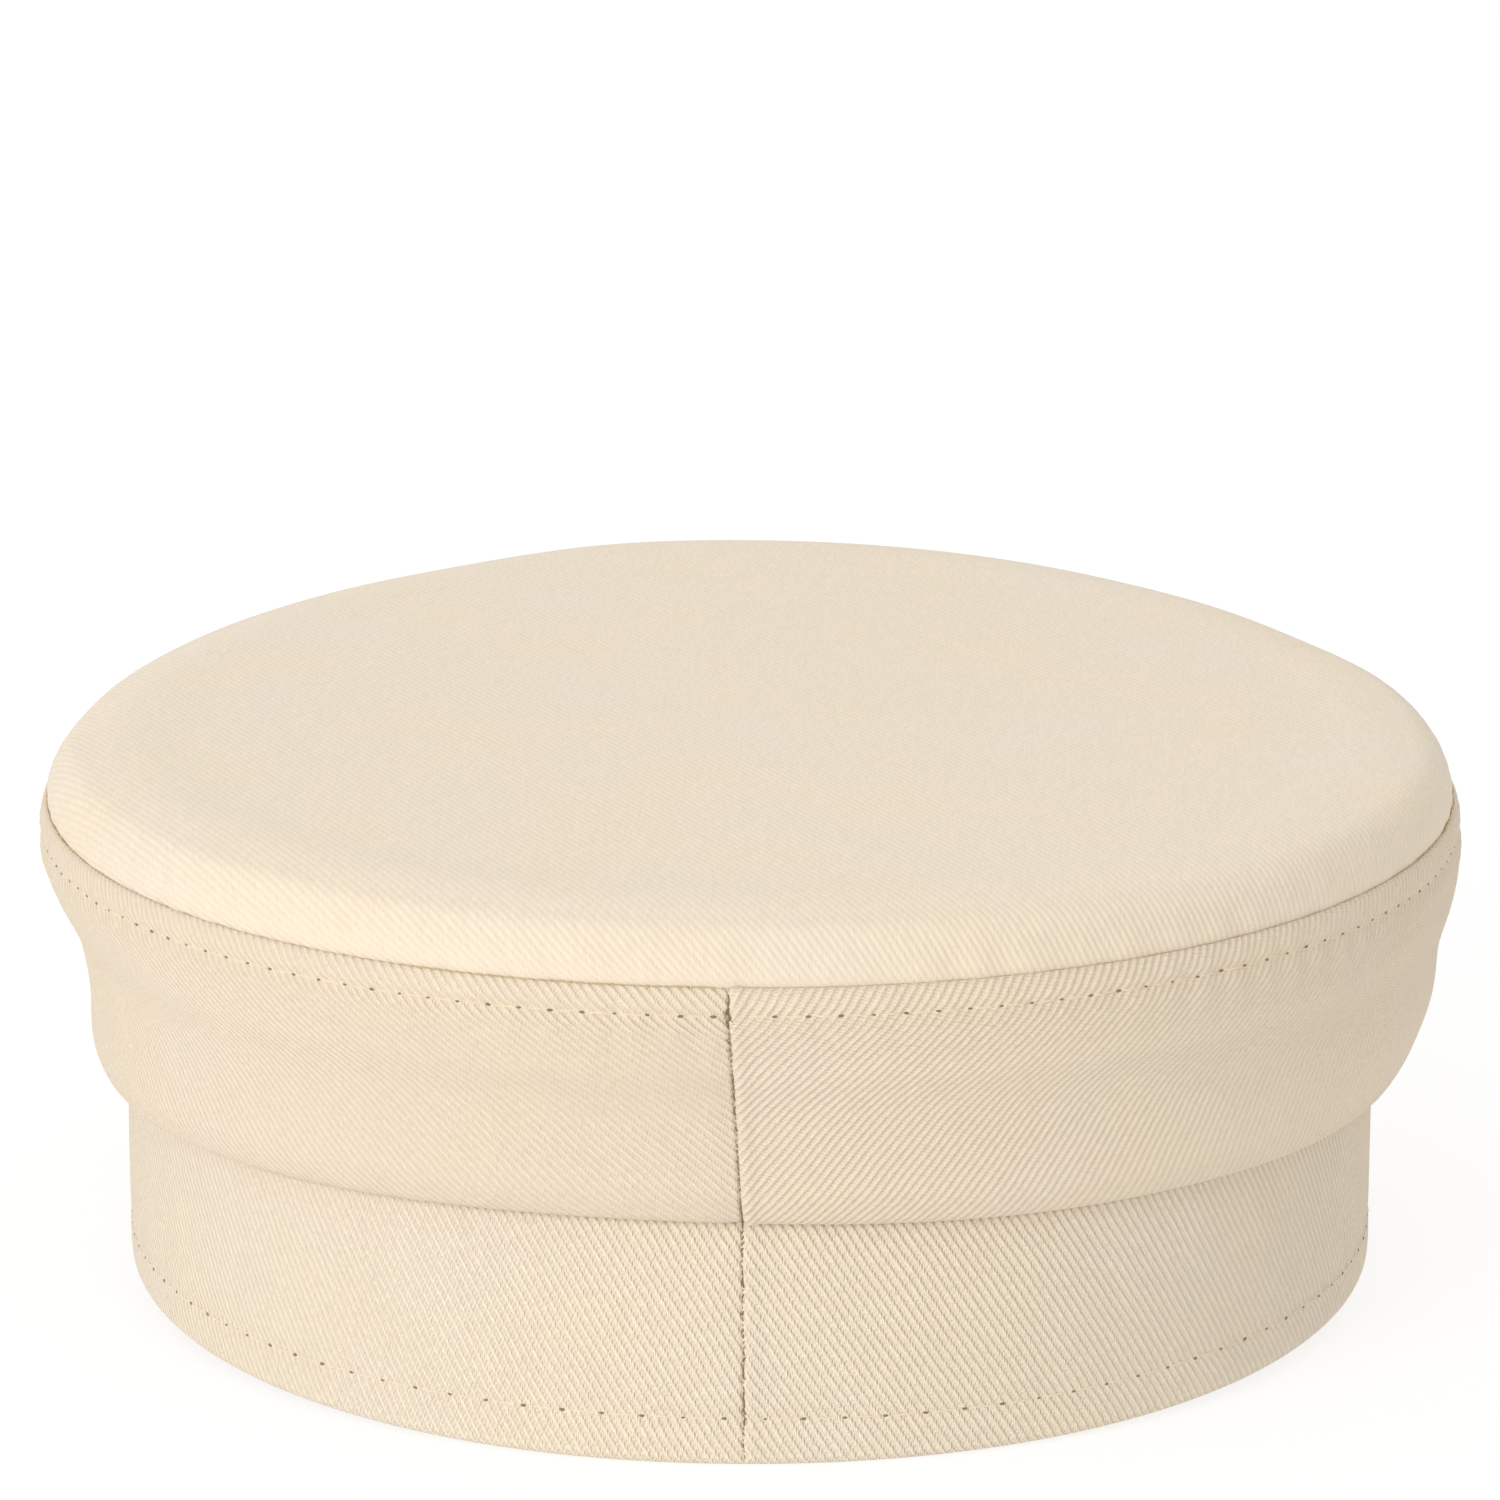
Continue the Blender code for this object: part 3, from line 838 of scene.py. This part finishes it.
def makePeak():
    across = np.linspace(-1, 1, peak["columns"])
    outward = np.concatenate([[0.0], np.linspace(peak["firstRow"], 1, peak["rows"])])
    angle = math.pi - across * math.radians(peak["halfAngle"])
    taper = np.cos(np.abs(across) * math.pi / 2) ** peak["pointedness"]
    reach = blend(peak["tipReach"], peak["reach"], taper)
    slope = np.radians(blend(peak["middleSlope"], peak["sideSlope"], across**2))
    out = outward[:, None] * reach[None, :]
    beyond = np.maximum(out - peak["shelf"], 0)
    camber = peak["camber"] * np.sin(math.pi * outward)[:, None] * (reach / peak["reach"])[None, :]
    x, y = ovalPoints(headband["oval"], np.broadcast_to(angle, out.shape), peak["seamGap"] + out)
    height = peak["seatHeight"] - beyond * np.tan(slope)[None, :] + camber
    inset = (reach[None, :] - out)[::-1]
    points = np.stack([x, y, height], -1)[::-1]
    depth, spread = peak["stitchPull"]
    points[..., 2] += ridge(inset, (depth, peak["stitchInset"], spread))
    mesh = gridMesh("peakCloth", points, points[..., :2].copy(), closed=False)
    wide = np.abs(across) < peak["stitchedShare"]
    stitchRows = np.argmin(np.abs(inset - peak["stitchInset"]), axis=0)
    return mesh, points[stitchRows, np.arange(len(across))][wide]


# Setting the pieces down: the cap rests on the back of the headband and on the two low stretches of the peak

rimMount = frame["record"]["mounts"][0]
tip = Matrix.Rotation(math.atan2(rimMount["axis"][1], -rimMount["axis"][2]), 4, "X")
rimPoint = Vector((0.0, headband["wall"] / 2 - headband["oval"][1], 0.0)) * mm
setDown = Matrix.Translation(Vector(rimMount["pos_m"]) - tip @ rimPoint) @ tip


def placePiece(name, mesh, material, *nodes, slot):
    # sets a piece down with the cap and hands it over in place of its plain solid
    mesh.transform(setDown)
    piece = addObject(name, mesh)
    mesh.materials.append(material)
    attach(piece, "root")
    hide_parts(*nodes)
    return piece


def thicken(piece, thickness, edge=0.0):
    wall = piece.modifiers.new("wall", "SOLIDIFY")
    wall.thickness = thickness * mm
    wall.offset = -1
    if edge:
        soften = piece.modifiers.new("soften", "BEVEL")
        soften.width = edge * mm
        soften.segments = 3
        soften.limit_method = "ANGLE"
        soften.angle_limit = math.radians(50)
    applyModifiers(piece)


columns = columnAngles()
headbandMesh, hemRow, headbandSeam = makeHeadband(columns)
print("headband made")
crownSideMesh, topstitchRow, crownSeam, frayLine, rimLine = makeCrownSide(columns)
print("crown side made")
crownTopMesh = makeCrownTop(columns)
print("crown top made")
peakMesh, peakRow = makePeak()
print("peak made")

topCloth = placePiece("crownTopCloth", crownTopMesh, topTwill, "crown_top", slot="crown_twill")
sideCloth = placePiece("crownSideCloth", crownSideMesh, sideTwill, "crown_side", slot="crown_twill")
bandCloth = placePiece("headbandCloth", headbandMesh, headbandTwill, "headband", slot="headband_twill")
peakCloth = placePiece("peakCloth", peakMesh, peakTwill, "peak", slot="peak_twill")
thicken(topCloth, rim["wall"])
thicken(sideCloth, crownSide["wall"])
thicken(peakCloth, peak["wall"], edge=peak["edgeRounding"])
print("cloth given its thickness")


# Stitches, repeated along the rows that the panels gave

stitches = {
    "threadRadius": 0.14,
    "threadGap": 0.35,  # mm from the end of a stitch to the start of the next
    "dive": 0.60,
    "seamDive": 0.35,
    "threadRings": 9,
    "threadSides": 6,
    "holeLong": 0.78,
    "holeWide": 0.44,
    "holeHigh": 0.05,
    "holeTop": 0.75,  # how wide the top of the lens is, as a share of its foot
    "holeSides": 10,
    # spread in size, and in direction in degrees
    "threadSpread": (0.03, 2.5),
    "holeSpread": (0.22, 12),
}


def makeStitchMesh(length, radius, dive):
    # one stitch: a thread that comes up out of a hole, lies on the cloth and goes down the next
    sides = stitches["threadSides"]
    along = np.linspace(-1, 1, stitches["threadRings"])
    height = -dive * np.abs(along) ** 4
    turn = np.linspace(0, 2 * math.pi, sides, endpoint=False)
    rings = np.array([[(a * length / 2, radius * math.cos(t), h + radius * math.sin(t)) for t in turn]
                      for a, h in zip(along, height)])
    mesh = bpy.data.meshes.new("stitchShape")
    last = (len(along) - 1) * sides
    faces = [(ring + c, ring + (c + 1) % sides, ring + sides + (c + 1) % sides, ring + sides + c)
             for ring in range(0, last, sides) for c in range(sides)]
    faces += [tuple(range(sides - 1, -1, -1)), tuple(range(last, last + sides))]
    mesh.from_pydata((rings.reshape(-1, 3) * mm).tolist(), [], faces)
    mesh.flip_normals()
    mesh.shade_smooth()
    return mesh


def makeHoleMesh():
    # a low dark lens on the cloth where the needle went through
    long, wide, high = stitches["holeLong"], stitches["holeWide"], stitches["holeHigh"]
    sides, top = stitches["holeSides"], stitches["holeTop"]
    turn = np.linspace(0, 2 * math.pi, sides, endpoint=False)
    rings = [(share * math.cos(t) * long / 2, share * math.sin(t) * wide / 2, up)
             for share, up in ((top, high), (1.0, -high)) for t in turn]
    mesh = bpy.data.meshes.new("holeShape")
    faces = [tuple(range(sides)), tuple(range(2 * sides - 1, sides - 1, -1))]
    faces += [(sides + c, sides + (c + 1) % sides, (c + 1) % sides, c) for c in range(sides)]
    mesh.from_pydata([tuple(v * mm for v in p) for p in rings], [], faces)
    mesh.shade_smooth()
    return mesh


def makeRepeatTree():
    # repeats a small shape along a path that lies on the cloth, turned to the path and to the cloth
    tree = bpy.data.node_groups.new("repeatAlongPath", "GeometryNodeTree")
    inputs = [("Path", "Geometry"), ("Shape", "Object"), ("Cloth", "Object"), ("Spacing", "Float"),
              ("Shift", "Float"), ("Size spread", "Float"), ("Turn spread", "Float"), ("Seed", "Int"),
              ("On cloth", "Bool"), ("Finish", "Material")]
    for name, kind in inputs:
        tree.interface.new_socket(name, in_out="INPUT", socket_type="NodeSocket" + kind)
    tree.interface.new_socket("Pieces", in_out="OUTPUT", socket_type="NodeSocketGeometry")

    def geometry(kind, values=(), **settings):
        return addNode(tree, "GeometryNode" + kind, values, **settings)

    given = addNode(tree, "NodeGroupInput").outputs
    curve = geometry("MeshToCurve", {"Mesh": given["Path"]})
    even = geometry("ResampleCurve", {"Curve": curve, "Length": given["Spacing"]}, mode="LENGTH")
    tangent = geometry("InputTangent")
    step = addNode(tree, "ShaderNodeVectorMath", {0: tangent, "Scale": given["Shift"]}, operation="SCALE")
    moved = geometry("SetPosition", {"Geometry": even, "Offset": step})
    found = geometry("ObjectInfo", {"Object": given["Cloth"]}, transform_space="RELATIVE")
    ground = found.outputs["Geometry"]
    onCloth = geometry("Proximity", {"Geometry": ground}, target_element="FACES")
    laid = geometry("SetPosition", {
        "Geometry": moved, "Selection": given["On cloth"], "Position": onCloth.outputs["Position"]})
    nearest = geometry("SampleNearestSurface", {
        "Mesh": ground, "Value": geometry("InputNormal"), "Sample Position": geometry("InputPosition")},
        data_type="FLOAT_VECTOR")
    lying = addNode(tree, "FunctionNodeAxesToRotation", {
        "Primary Axis": nearest.outputs["Value"], "Secondary Axis": tangent},
        primary_axis="Z", secondary_axis="X")

    def chanceBetween(least, most, seed):
        return addNode(tree, "FunctionNodeRandomValue", {2: least, 3: most, "Seed": seed},
                       data_type="FLOAT").outputs[1]

    turnSpread, sizeSpread = given["Turn spread"], given["Size spread"]
    yaw = chanceBetween(addMath(tree, "MULTIPLY", turnSpread, -1.0), turnSpread, given["Seed"])
    turned = addNode(tree, "FunctionNodeRotateRotation", {
        "Rotation": lying, "Rotate By": addNode(tree, "ShaderNodeCombineXYZ", {"Z": yaw})},
        rotation_space="LOCAL")
    # another seed, so that size and direction don't go together
    size = chanceBetween(addMath(tree, "SUBTRACT", 1.0, sizeSpread), addMath(tree, "ADD", 1.0, sizeSpread),
                         addMath(tree, "ADD", given["Seed"], 17.0))
    shape = geometry("ObjectInfo", {"Object": given["Shape"]})
    copies = geometry("InstanceOnPoints", {
        "Points": laid, "Instance": shape.outputs["Geometry"], "Rotation": turned, "Scale": size})
    solid = geometry("RealizeInstances", {"Geometry": copies})
    finish = geometry("SetMaterial", {"Geometry": solid, "Material": given["Finish"]})
    addNode(tree, "NodeGroupOutput", {"Pieces": finish})
    return tree


repeatTree = makeRepeatTree()


def repeatAlong(name, points, closed, cloth, shape, material, spacing, spread, seed, shift=0.0,
                onCloth=False):
    # runs the tree along a line of points and keeps the result as a plain mesh
    count = len(points)
    edges = [(i, (i + 1) % count) for i in range(count if closed else count - 1)]
    path = bpy.data.meshes.new(name)
    path.from_pydata((points * mm).tolist(), edges, [])
    path.transform(setDown)
    piece, shapeObject = addObject(name, path), addObject(name + "Shape", shape)
    modifier = piece.modifiers.new("repeat", "NODES")
    modifier.node_group = repeatTree
    sizeSpread, turnSpread = spread
    given = {"Shape": shapeObject, "Cloth": cloth, "Finish": material, "Spacing": spacing * mm,
             "Shift": shift * mm, "Size spread": sizeSpread, "Turn spread": math.radians(turnSpread),
             "Seed": seed, "On cloth": onCloth}
    for item in repeatTree.interface.items_tree:
        if item.in_out == "INPUT" and item.name in given:
            modifier[item.identifier] = given[item.name]
    applyModifiers(piece)
    bpy.data.objects.remove(shapeObject)
    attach(piece, "root")


def makeStitches(name, points, closed, cloth, length, seed):
    thread = makeStitchMesh(length - stitches["threadGap"], stitches["threadRadius"], stitches["dive"])
    repeatAlong(name + "Thread", points, closed, cloth, thread, threadMaterial, length,
                stitches["threadSpread"], seed, onCloth=True)
    repeatAlong(name + "Holes", points, closed, cloth, makeHoleMesh(), holeMaterial, length,
                stitches["holeSpread"], seed + 1, shift=length / 2, onCloth=True)


def makeSeamThread(name, points, cloth, material, seed, looks):
    # short crossings of the sewing thread, and yarn ends, down in the seam, coloured with its painted shade
    spacing, length, radius, lean, spread = looks
    thread = makeStitchMesh(length, radius, stitches["seamDive"])
    repeatAlong(name, points, False, cloth, thread, material, spacing, (spread, lean), seed)


def stretchOf(row, first, last):
    # the points of a row round the cap between two angles from the back, in degrees
    turn = np.degrees(signed(columns))
    inside = np.flatnonzero((turn >= first) & (turn <= last))
    return row[inside[np.argsort(turn[inside])]]


makeStitches("topstitch", topstitchRow, True, sideCloth, crownSide["stitchLength"], 31)
makeStitches("hemStitch", hemRow, True, bandCloth, headband["stitchLength"], 41)
makeStitches("peakStitch", peakRow, False, peakCloth, peak["stitchLength"], 51)
for name, path, cloth, seed, slot, looks in (
        ("crownSeamThread", crownSeam, sideCloth, 61, "crown_twill", "thread"),
        ("crownSeamFray", frayLine, sideCloth, 66, "crown_twill", "fray"),
        ("headbandSeamThread", headbandSeam, bandCloth, 71, "headband_twill", "thread")):
    makeSeamThread(name, path, cloth, seamShadeMaterial, seed, backSeam[looks])
# yarn ends that carry the rim seam's painted shade, along the listed stretches
for number, (first, last) in enumerate(rim["yarnStretches"]):
    makeSeamThread(f"rimSeamThread{number + 1}", stretchOf(rimLine, first, last), sideCloth, rimShadeMaterial,
                   83 + number, rim["yarnEnds"])
print("stitches made")


# Floor, light and camera

studio = {
    "floorSize": 40.0,
    "floorColour": "#8a8988",
    "floorGlow": 0.78,
    "floorRoughness": 0.9,
    "floorSpecular": 0.1,
    "world": 0.83,
    "aim": (0, 0, 0.04),
    # name: where the softbox stands in metres, its side in metres and its power in watts
    "softboxes": {"key": ((-1.14, -1.56, 0.56), 1.0, 17.2)},
}


def makeFloor():
    half = studio["floorSize"] / 2
    mesh = bpy.data.meshes.new("floor")
    corners = [(-half, -half, 0), (half, -half, 0), (half, half, 0), (-half, half, 0)]
    mesh.from_pydata(corners, [], [(0, 1, 2, 3)])
    floor = addObject("floor", mesh)
    # Matt opal acrylic lit from below, as a product table is: white, with hardly a shadow
    material, tree, shader = startMaterial("opalProductTable")
    feedNode(tree, shader, {
        "Base Color": toLinear(studio["floorColour"]), "Roughness": studio["floorRoughness"],
        "Specular IOR Level": studio["floorSpecular"], "Emission Color": (1, 1, 1, 1),
        "Emission Strength": studio["floorGlow"]})
    mesh.materials.append(material)


def makeSoftbox(name, place, side, power):
    light = bpy.data.lights.new(name, "AREA")
    light.energy = power
    light.size = side
    lamp = addObject(name, light)
    lamp.location = place
    aim = Vector(studio["aim"]) - lamp.location
    lamp.rotation_euler = aim.to_track_quat("-Z", "Y").to_euler()


makeFloor()
for name, (place, side, power) in studio["softboxes"].items():
    makeSoftbox(name, place, side, power)
scene = bpy.context.scene
scene.world = bpy.data.worlds.new("studio")
scene.world.use_nodes = True
worldTree = scene.world.node_tree
feedNode(worldTree, worldTree.nodes["Background"], {"Color": (1, 1, 1, 1), "Strength": studio["world"]})
scene.view_settings.view_transform = "Standard"

view = {
    "place": (0.0, -800.0, 268.23),  # mm, over the level cap
    "pitch": 13.98,
    "focal": 5900,  # in pixels of a frame this many wide
    "frame": 1500,
    "sensor": 36,
}
camera = addObject("camera", bpy.data.cameras.new("camera"))
lookDown = Matrix.Rotation(math.radians(90 - view["pitch"]), 4, "X")
camera.matrix_world = setDown @ Matrix.Translation(Vector(view["place"]) * mm) @ lookDown
camera.data.lens = view["focal"] / view["frame"] * view["sensor"]
camera.data.sensor_width = view["sensor"]
camera.data.clip_end = 100
scene.camera = camera
print("studio made")
